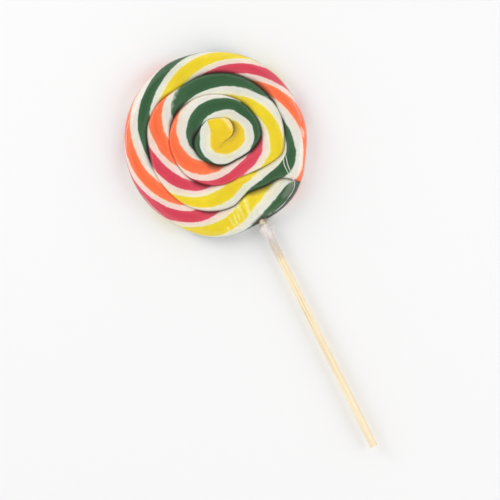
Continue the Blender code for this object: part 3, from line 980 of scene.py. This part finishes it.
def make_film_neck():
    """Film gathered round the stick: a pleated knob that tapers to a tight sleeve, and its tuft."""
    rings = np.array(NECK_RINGS)
    curves = [smooth_curve(list(zip(-rings[:, 0], rings[:, k]))) for k in range(1, 6)]
    stations = np.arange(-rings[0, 0], -rings[-1, 0] + NECK_STEP / 2, NECK_STEP)
    angle = np.arange(NECK_SIDES) * 2 * math.pi / NECK_SIDES
    points, haze, quads = [], [], []
    for i, station in enumerate(stations):
        left, right, tall, depth, milky = [curve(np.array([station]))[0] for curve in curves]
        twist = NECK_TWIST * (station + rings[0, 0])
        phase = angle * NECK_PLEATS + 1.3 * np.sin(angle * 3 + 0.7) + twist
        fine = np.sin(angle * NECK_FINE_PLEATS + station * 0.9)
        ridge = 0.5 + 0.4 * np.sin(phase) + 0.1 * fine
        across = (right - left) / 2 - depth * 0.5 + depth * ridge
        up = tall - depth * 0.5 + depth * ridge
        x = (left + right) / 2 + across * np.cos(angle)
        z = CENTRE_HEIGHT / MM + up * np.sin(angle)
        points.append(np.column_stack([x, np.full(len(x), -station), z]) * MM)
        haze.append(np.clip(milky * (0.85 + 0.3 * ridge), 0, 1))
        if i:
            base = (i - 1) * NECK_SIDES
            for j in range(NECK_SIDES):
                k = (j + 1) % NECK_SIDES
                quads.append((base + j, base + k, base + NECK_SIDES + k, base + NECK_SIDES + j))
    milk = np.concatenate(haze)
    neck = mesh_from("film_neck", np.concatenate(points), quads, {"haze": milk, "painted_shade": milk * 0})
    add_piece("film_neck", neck, neck_material(), "film_gather")


# Loose tongues of film, in millimetres: along each side of the sheet, with heights over the floor,
# then how milky it is and how much shade is painted on it.
FILM_TONGUES = (
    (((4.5, -42.0, 6.6), (5.3, -42.4, 6.9), (6.1, -42.45, 6.5), (6.8, -42.4, 6.0)),
     ((4.5, -46.1, 6.4), (4.9, -46.3, 6.2), (5.25, -46.3, 5.6), (5.4, -46.2, 5.0)), 0.98, 0.0),
    (((4.8, -42.6, 4.4), (5.6, -42.7, 4.0), (6.2, -42.8, 4.3), (6.7, -42.7, 4.9)),
     ((4.6, -45.7, 4.4), (4.9, -45.9, 4.2), (5.1, -45.9, 4.4), (5.3, -45.9, 4.7)), 0.92, 0.0),
    (((4.2, -38.4, 7.2), (5.5, -38.5, 6.6), (6.9, -38.45, 5.9), (8.3, -38.4, 5.2)),
     ((4.1, -40.0, 6.6), (4.7, -39.9, 6.2), (5.4, -39.6, 5.6), (6.1, -39.3, 5.2)), 0.95, 0.9),
    (((-1.9, -38.6, 5.2), (-0.9, -38.6, 5.6), (0.2, -38.7, 6.0), (1.4, -38.8, 6.6)),
     ((-1.5, -38.9, 5.2), (-0.6, -39.1, 5.5), (0.5, -39.5, 5.9), (1.5, -40.0, 6.4)), 0.22, 0.0),
)
TONGUE_ROWS = 19
TONGUE_COLUMNS = 15
TONGUE_RIPPLES = 17
TONGUE_FOLD = 0.14


def make_film_tongues():
    """The loose ends of the film at the neck, rippled sheets between two edges each."""
    points, haze, painted_shade, quads = [], [], [], []
    along, across = np.linspace(0, 1, TONGUE_ROWS), np.linspace(0, 1, TONGUE_COLUMNS)
    ripple = np.sin(along * TONGUE_RIPPLES)[:, None]
    flat = np.ones(TONGUE_COLUMNS)
    for top, bottom, milky, painted_shade_share in FILM_TONGUES:
        edges = []
        for edge in (top, bottom):
            knots = np.array(edge, float)
            place = np.linspace(0, 1, len(knots))
            curves = [smooth_curve(list(zip(place, knots[:, k]))) for k in range(3)]
            edges.append(np.stack([curve(along) for curve in curves], axis=1)[:, None])
        share = across[None, :, None]
        sheet = edges[0] * (1 - share) + edges[1] * share
        sheet[:, :, 2] += TONGUE_FOLD * ripple * (1 - across)[None, :]
        base = sum(len(p) for p in points)
        points.append(sheet.reshape(-1, 3) * MM)
        haze.append((milky * (0.85 + 0.15 * ripple) * flat).ravel())
        # Painted shade, fading along the tongue.
        painted_shade.append((painted_shade_share * (1 - 0.6 * along)[:, None] * flat).ravel())
        quads += grid_quads(base, TONGUE_ROWS, TONGUE_COLUMNS)
    values = {"haze": np.concatenate(haze), "painted_shade": np.concatenate(painted_shade)}
    mesh = mesh_from("film_tongues", np.concatenate(points), quads, values)
    add_piece("film_tongues", mesh, neck_material())


def make_camera():
    """Looks straight down, turned so that the stick points to the lower right as in the photo."""
    image_pixels = 500
    disc_centre_pixel = (215.85, 143.7)
    metres_per_pixel = DISC_RADIUS / 92.5
    roll = math.radians(-26.44)
    height = 2.4
    right = Vector((math.cos(roll), math.sin(roll), 0))
    up = Vector((-math.sin(roll), math.cos(roll), 0))
    middle = image_pixels / 2
    offset = right * (middle - disc_centre_pixel[0]) - up * (middle - disc_centre_pixel[1])
    camera_data = bpy.data.cameras.new("camera")
    camera = bpy.data.objects.new("camera", camera_data)
    bpy.context.scene.collection.objects.link(camera)
    camera.location = offset * metres_per_pixel + Vector((0, 0, height))
    camera.rotation_euler = (0, 0, roll)
    span = image_pixels * metres_per_pixel
    camera_data.sensor_width = 36
    camera_data.lens = camera_data.sensor_width * (height - CENTRE_HEIGHT) / span
    camera_data.clip_start = 0.01
    bpy.context.scene.camera = camera
    return right, up


def make_floor():
    mesh = bpy.data.meshes.new("floor")
    size = 3.0
    mesh.from_pydata([(-size, -size, 0), (size, -size, 0), (size, size, 0), (-size, size, 0)], [],
                     [(0, 1, 2, 3)])
    floor = bpy.data.objects.new("floor", mesh)
    bpy.context.scene.collection.objects.link(floor)
    mesh.materials.append(floor_material())
    floor.location.z = cad_box[0].z - 0.0001


def softbox(name, place, size, watts):
    data = bpy.data.lights.new(name, "AREA")
    data.shape = "RECTANGLE"
    data.size, data.size_y = size
    data.energy = watts
    light = bpy.data.objects.new(name, data)
    bpy.context.scene.collection.objects.link(light)
    light.location = place
    aim = Vector((0, 0, 0)) - Vector(place)
    light.rotation_euler = aim.to_track_quat("-Z", "Y").to_euler()


def make_lights(right, up):
    """White walls of light all round, and a duller ceiling over the camera."""
    world = bpy.data.worlds.new("soft studio")
    world.use_nodes = True
    tree = world.node_tree
    place = tree.nodes.new("ShaderNodeTexCoord")
    split = tree.nodes.new("ShaderNodeSeparateXYZ")
    fade = tree.nodes.new("ShaderNodeMapRange")
    fade.interpolation_type = "SMOOTHSTEP"
    for key, value in (("From Min", 0.84), ("From Max", 0.97), ("To Min", 1.08), ("To Max", 0.20)):
        fade.inputs[key].default_value = value
    tree.links.new(place.outputs["Generated"], split.inputs[0])
    tree.links.new(split.outputs["Z"], fade.inputs["Value"])
    tree.links.new(fade.outputs[0], tree.nodes["Background"].inputs["Strength"])
    tree.nodes["Background"].inputs["Color"].default_value = (1.0, 1.0, 1.0, 1.0)
    bpy.context.scene.world = world
    bpy.context.scene.view_settings.view_transform = "Standard"
    high = Vector((0, 0, 0.45))
    softbox("softbox left", right * -0.50 + up * 0.25 + high, (0.22, 0.5), 0.9)
    softbox("softbox right", right * 0.50 + up * -0.05 + high, (0.14, 0.5), 0.5)


right, up = make_camera()
make_floor()
make_lights(right, up)
make_candy()
make_stick()
make_film_wrap()
make_film_creases()
make_film_neck()
make_film_tongues()
